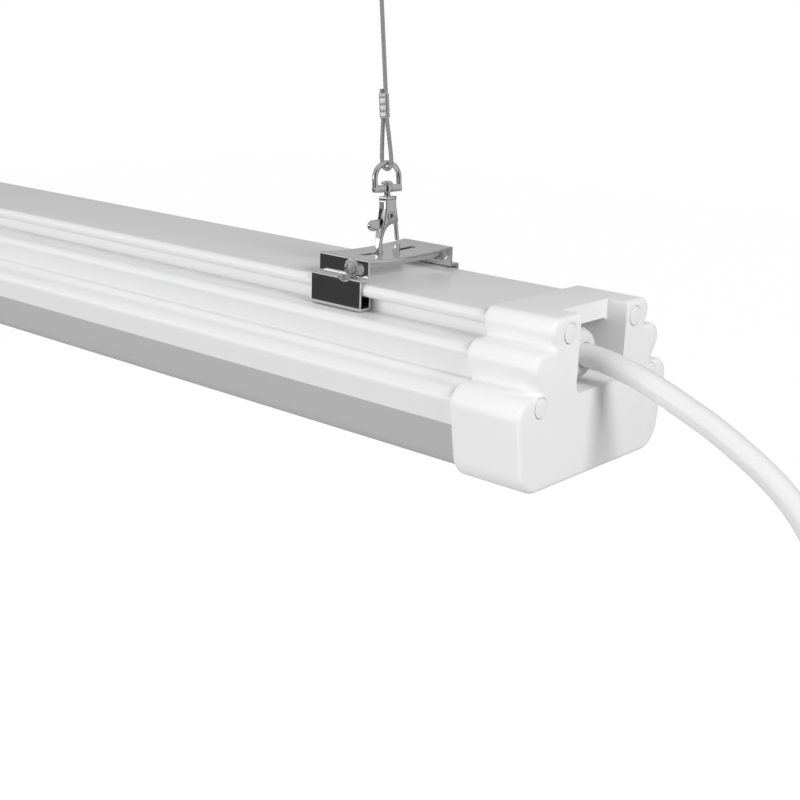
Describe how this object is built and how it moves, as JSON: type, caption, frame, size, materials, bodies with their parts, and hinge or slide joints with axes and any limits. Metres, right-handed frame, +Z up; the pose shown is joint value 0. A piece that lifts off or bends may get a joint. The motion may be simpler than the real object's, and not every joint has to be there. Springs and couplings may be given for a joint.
{
  "type": "hanging shop light",
  "caption": "Long ribbed LED shop light with opal diffuser and end caps, hung by clamp brackets and snap hooks on wire ropes, with a mains cord and plug.",
  "frame": {"origin": "foot of the first ceiling hook's shank, in the ceiling's plane", "axes": "X along the light towards its cable end, Y across it, Z up"},
  "size_m": [1.3577, 0.0864, 0.4663],
  "materials": {
    "white_housing": "satin white powder coat",
    "opal": "opal translucent",
    "tray_metal": "mill finish sheet",
    "board_white": "white solder mask",
    "led_yellow": "phosphor lens",
    "driver_metal": "plain sheet",
    "board_green": "green solder mask",
    "component": "wrapped winding and sleeve",
    "screw_steel": "zinc plated",
    "white_plastic": "moulded",
    "wire_core": "insulated core",
    "wire_lead": "insulated lead",
    "white_cap": "fine moulded texture",
    "seal_rubber": "matte",
    "gland_plastic": "moulded nylon",
    "cord_white": "soft white sheath",
    "strap_black": "flexible strap",
    "plug_white": "moulded",
    "plug_brass": "plain",
    "bracket_steel": "polished stainless sheet",
    "hook_chrome": "nickel plated casting",
    "spring_steel": "drawn wire",
    "rope_steel": "galvanised strands",
    "ferrule_metal": "crimped",
    "zinc_steel": "zinc plated"
  },
  "bodies": {
    "ceiling": {"ceiling_hook_1": "zinc_steel", "ceiling_hook_2": "zinc_steel"},
    "suspension": {"hook_body_1": "hook_chrome", "gate_rivet_1": "screw_steel", "gate_spring_1": "spring_steel", "swivel_post_1": "hook_chrome", "wire_rope_1": "rope_steel", "ferrules_1": "ferrule_metal", "hook_body_2": "hook_chrome", "gate_rivet_2": "screw_steel", "gate_spring_2": "spring_steel", "swivel_post_2": "hook_chrome", "wire_rope_2": "rope_steel", "ferrules_2": "ferrule_metal"},
    "light": {"housing": "white_housing", "diffuser": "opal", "led_tray": "tray_metal", "led_board_front": "board_white", "led_board_back": "board_white", "leds": "led_yellow", "driver_case": "driver_metal", "driver_cover": "driver_metal", "driver_board": "board_green", "driver_parts": "component", "driver_screws": "screw_steel", "terminal_block": "white_plastic", "mains_wires": "wire_core", "driver_wires": "wire_lead", "led_wires": "wire_lead", "cap_cable_end": "white_cap", "gasket_cable_end": "seal_rubber", "cap_screws_cable_end": "screw_steel", "screw_covers_cable_end": "white_plastic", "cap_far_end": "white_cap", "gasket_far_end": "seal_rubber", "cap_screws_far_end": "screw_steel", "screw_covers_far_end": "white_plastic", "gland_body": "gland_plastic", "gland_locknut": "gland_plastic", "gland_nut": "gland_plastic", "gland_seal": "seal_rubber", "power_cord": "cord_white", "cord_coil": "cord_white", "cord_tie": "strap_black", "plug_body": "plug_white", "plug_pins": "plug_brass", "bracket_1": "bracket_steel", "clamp_bolt_1": "screw_steel", "clamp_nut_1": "screw_steel", "clamp_washers_1": "screw_steel", "bracket_2": "bracket_steel", "clamp_bolt_2": "screw_steel", "clamp_nut_2": "screw_steel", "clamp_washers_2": "screw_steel"},
    "gate_1": {"hook_gate_1": "hook_chrome"},
    "gate_2": {"hook_gate_2": "hook_chrome"},
    "eye_1": {"swivel_eye_1": "hook_chrome"},
    "eye_2": {"swivel_eye_2": "hook_chrome"}
  },
  "joints": [
    {"name": "sway", "type": "hinge", "parent": "ceiling", "child": "suspension", "pos_m": [0, 0, -0.0232], "axis": [1, 0, 0], "range_deg": [-15, 15]},
    {"name": "rock", "type": "hinge", "parent": "suspension", "child": "light", "pos_m": [0.01069, 0, -0.13974], "axis": [1, 0, 0], "range_deg": [-6, 6]},
    {"name": "gate_1_open", "type": "hinge", "parent": "suspension", "child": "gate_1", "pos_m": [0.01, -0.0002, -0.12871], "axis": [0.998, 0, 0.0628], "range_deg": [-24, 0], "stiffness_Nm_per_rad": 0.012, "springref_deg": 8.59},
    {"name": "gate_2_open", "type": "hinge", "parent": "suspension", "child": "gate_2", "pos_m": [-1.00421, -0.0002, -0.12871], "axis": [0.998, 0, -0.0628], "range_deg": [-24, 0], "stiffness_Nm_per_rad": 0.012, "springref_deg": 8.59},
    {"name": "eye_1_swivel", "type": "hinge", "parent": "suspension", "child": "eye_1", "pos_m": [0.00939, 0, -0.11908], "axis": [-0.0628, 0, 0.998], "range_deg": [-12, 12]},
    {"name": "eye_2_swivel", "type": "hinge", "parent": "suspension", "child": "eye_2", "pos_m": [-1.00361, 0, -0.11908], "axis": [0.0628, 0, 0.998], "range_deg": [-12, 12]}
  ]
}
